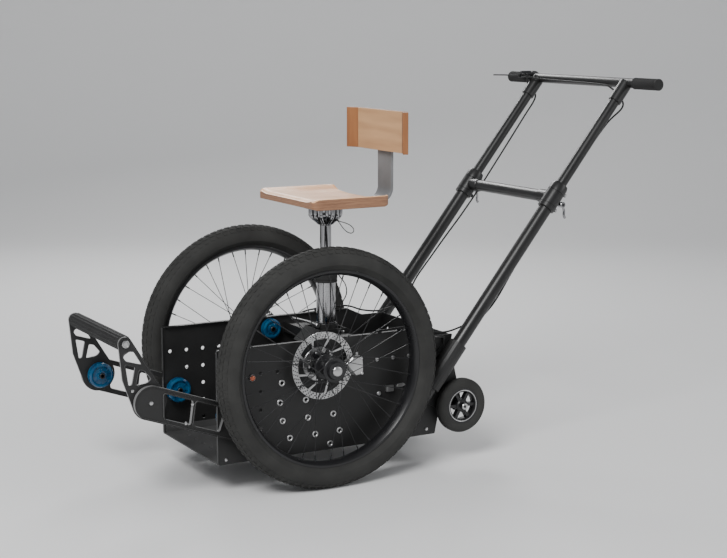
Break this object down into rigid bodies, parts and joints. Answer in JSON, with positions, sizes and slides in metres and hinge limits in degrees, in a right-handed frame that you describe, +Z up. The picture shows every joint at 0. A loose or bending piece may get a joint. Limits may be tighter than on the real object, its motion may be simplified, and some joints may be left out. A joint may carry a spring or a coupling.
{
  "type": "push seat cart",
  "caption": "Perforated tray cart between two spoked wheels with a swivel seat, telescopic push handle, anti-tip wheels and folding footrest.",
  "frame": {"origin": "centre of the bounding box's bottom face, on the ground under the large wheels", "axes": "+X forward, from the push handle to the footrest; +Y to the rider's left, along the wheel axles; +Z up"},
  "size_m": [1.5614, 0.714, 1.057],
  "materials": {
    "black_coat": "fine matt black powder coat",
    "tube_coat": "satin black coat",
    "tyre": "matt black rubber",
    "rim": "black anodised",
    "hub": "satin black",
    "steel": "bare, lightly brushed",
    "aluminium": "cast, satin",
    "chrome": "polished",
    "blue": "translucent blue polyurethane",
    "wood": "pale, satin lacquer",
    "grey_paint": "smooth grey paint",
    "grip": "matt",
    "hose": "smooth black"
  },
  "bodies": {
    "frame": {"tray_floor": "black_coat", "rear_wall": "black_coat", "handle_bridge": "tube_coat", "seat_base": "black_coat", "seat_column": "chrome", "column_collar": "grip", "left_side_panel": "black_coat", "right_side_panel": "black_coat", "left_axle": "steel", "right_axle": "steel", "left_caliper": "aluminium", "right_caliper": "aluminium", "left_arm": "black_coat", "right_arm": "black_coat", "left_handle_socket": "black_coat", "right_handle_socket": "black_coat", "left_lower_tube": "tube_coat", "right_lower_tube": "tube_coat", "left_brake_hose": "hose", "right_brake_hose": "hose"},
    "left_wheel": {"left_tyre": "tyre", "left_rim": "rim", "left_hub": "hub", "left_rotor": "steel"},
    "left_rear_wheel": {"left_rear_tyre": "tyre", "left_rear_wheel_core": "hub"},
    "left_nose_roller": {"left_nose_roller": "blue"},
    "left_low_roller": {"left_low_roller": "blue"},
    "left_high_roller": {"left_high_roller": "blue"},
    "right_wheel": {"right_tyre": "tyre", "right_rim": "rim", "right_hub": "hub", "right_rotor": "steel"},
    "right_rear_wheel": {"right_rear_tyre": "tyre", "right_rear_wheel_core": "hub"},
    "right_nose_roller": {"right_nose_roller": "blue"},
    "right_low_roller": {"right_low_roller": "blue"},
    "right_high_roller": {"right_high_roller": "blue"},
    "footrest": {"left_footrest_plate": "black_coat", "right_footrest_plate": "black_coat", "footrest_axle": "steel"},
    "footrest_roller": {"footrest_roller": "grip"},
    "upper_handle": {"left_upper_tube": "tube_coat", "right_upper_tube": "tube_coat", "left_grip": "grip", "right_grip": "grip", "handlebar": "tube_coat", "brake_lever_body": "hub"},
    "brake_lever": {"brake_lever": "steel"},
    "left_clamp_lever": {"left_clamp_lever": "steel"},
    "right_clamp_lever": {"right_clamp_lever": "steel"},
    "seat_post": {"seat_post": "chrome"},
    "seat": {"seat_hub": "chrome", "seat_board": "wood", "back_bar": "grey_paint", "backrest": "wood"},
    "lift_lever": {"lift_lever": "steel"},
    "column_lever": {"column_lever": "steel"}
  },
  "joints": [
    {"name": "left_wheel_spin", "type": "hinge", "parent": "frame", "child": "left_wheel", "pos_m": [0.22415, 0.253, 0.32], "axis": [0, 1, 0], "continuous": true},
    {"name": "left_rear_wheel_spin", "type": "hinge", "parent": "frame", "child": "left_rear_wheel", "pos_m": [-0.20985, 0.2105, 0.16], "axis": [0, 1, 0], "continuous": true},
    {"name": "left_nose_roller_spin", "type": "hinge", "parent": "frame", "child": "left_nose_roller", "pos_m": [0.69915, 0.166, 0.272], "axis": [0, 1, 0], "continuous": true},
    {"name": "left_low_roller_spin", "type": "hinge", "parent": "frame", "child": "left_low_roller", "pos_m": [0.47415, 0.166, 0.205], "axis": [0, 1, 0], "continuous": true},
    {"name": "left_high_roller_spin", "type": "hinge", "parent": "frame", "child": "left_high_roller", "pos_m": [0.18815, 0.166, 0.35], "axis": [0, 1, 0], "continuous": true},
    {"name": "right_wheel_spin", "type": "hinge", "parent": "frame", "child": "right_wheel", "pos_m": [0.22415, -0.253, 0.32], "axis": [0, 1, 0], "continuous": true},
    {"name": "right_rear_wheel_spin", "type": "hinge", "parent": "frame", "child": "right_rear_wheel", "pos_m": [-0.20985, -0.2105, 0.16], "axis": [0, 1, 0], "continuous": true},
    {"name": "right_nose_roller_spin", "type": "hinge", "parent": "frame", "child": "right_nose_roller", "pos_m": [0.69915, -0.166, 0.272], "axis": [0, 1, 0], "continuous": true},
    {"name": "right_low_roller_spin", "type": "hinge", "parent": "frame", "child": "right_low_roller", "pos_m": [0.47415, -0.166, 0.205], "axis": [0, 1, 0], "continuous": true},
    {"name": "right_high_roller_spin", "type": "hinge", "parent": "frame", "child": "right_high_roller", "pos_m": [0.18815, -0.166, 0.35], "axis": [0, 1, 0], "continuous": true},
    {"name": "footrest_fold", "type": "hinge", "parent": "frame", "child": "footrest", "pos_m": [0.69915, 0, 0.272], "axis": [0, 1, 0], "range_deg": [-90, 80]},
    {"name": "footrest_roller_spin", "type": "hinge", "parent": "footrest", "child": "footrest_roller", "pos_m": [0.76015, 0, 0.427], "axis": [0, 1, 0], "continuous": true},
    {"name": "handle_slide", "type": "slide", "parent": "frame", "child": "upper_handle", "axis": [-0.6247, 0, 0.7809], "range_m": [-0.25, 0.05], "deforming": ["left_brake_hose", "right_brake_hose"]},
    {"name": "brake_lever_pull", "type": "hinge", "parent": "upper_handle", "child": "brake_lever", "pos_m": [-0.71365, -0.25, 1.043], "axis": [0, 0, 1], "range_deg": [-12, 0], "stiffness_Nm_per_rad": 1.5},
    {"name": "left_clamp_lever_open", "type": "hinge", "parent": "frame", "child": "left_clamp_lever", "pos_m": [-0.53539, 0.219, 0.70045], "axis": [0, 1, 0], "range_deg": [0, 110]},
    {"name": "right_clamp_lever_open", "type": "hinge", "parent": "frame", "child": "right_clamp_lever", "pos_m": [-0.53539, -0.219, 0.70045], "axis": [0, 1, 0], "range_deg": [0, 110]},
    {"name": "seat_height", "type": "slide", "parent": "frame", "child": "seat_post", "axis": [0, 0, 1], "range_m": [-0.12, 0.06]},
    {"name": "seat_swivel", "type": "hinge", "parent": "seat_post", "child": "seat", "pos_m": [0.10015, 0, 0.72], "axis": [0, 0, 1], "continuous": true},
    {"name": "lift_lever_pull", "type": "hinge", "parent": "seat", "child": "lift_lever", "pos_m": [0.09165, 0.0455, 0.679], "axis": [0.3055, 0.9522, 0], "range_deg": [0, 14], "stiffness_Nm_per_rad": 0.3},
    {"name": "column_lever_open", "type": "hinge", "parent": "frame", "child": "column_lever", "pos_m": [0.13415, 0.01, 0.3835], "axis": [0, 1, 0], "range_deg": [-70, 0]}
  ]
}
